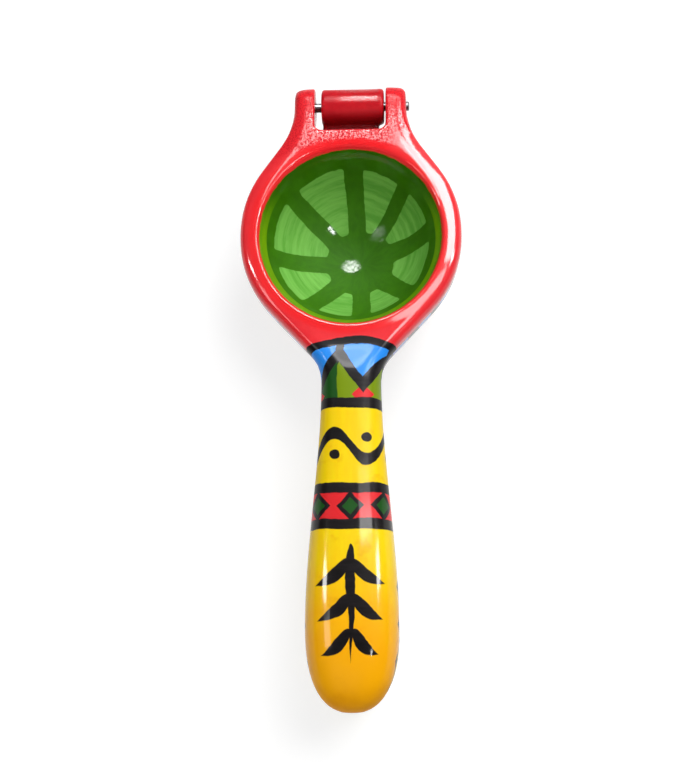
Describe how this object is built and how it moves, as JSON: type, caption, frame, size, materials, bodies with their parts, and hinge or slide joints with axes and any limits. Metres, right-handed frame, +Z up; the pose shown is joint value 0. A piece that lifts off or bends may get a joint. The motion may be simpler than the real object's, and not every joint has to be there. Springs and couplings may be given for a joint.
{
  "type": "citrus juicer",
  "caption": "Hand-held lever citrus press: a painted cast press lever with a hollow dome folds over a drained cup lever on a pinned knuckle hinge, with hollow arched handles.",
  "frame": {"origin": "centre of the flat foot under the cup, on the surface that the closed press stands on", "axes": "+Z up along the cup's axis; +Y from the cup's axis towards the hinge, so the handles point to -Y; +X along the hinge pin, to the right as seen from the handles"},
  "size_m": [0.076, 0.2155, 0.0402],
  "materials": {
    "press_paint": "gloss",
    "cup_paint": "gloss",
    "pin_steel": "satin"
  },
  "bodies": {
    "cup_side": {"cup_lever": "cup_paint"},
    "press_side": {"press_lever": "press_paint", "hinge_pin": "pin_steel"}
  },
  "joints": [
    {"name": "press_hinge", "type": "hinge", "parent": "cup_side", "child": "press_side", "pos_m": [0, 0.0488, 0.0268], "axis": [-1, 0, 0], "range_deg": [0, 180]}
  ]
}
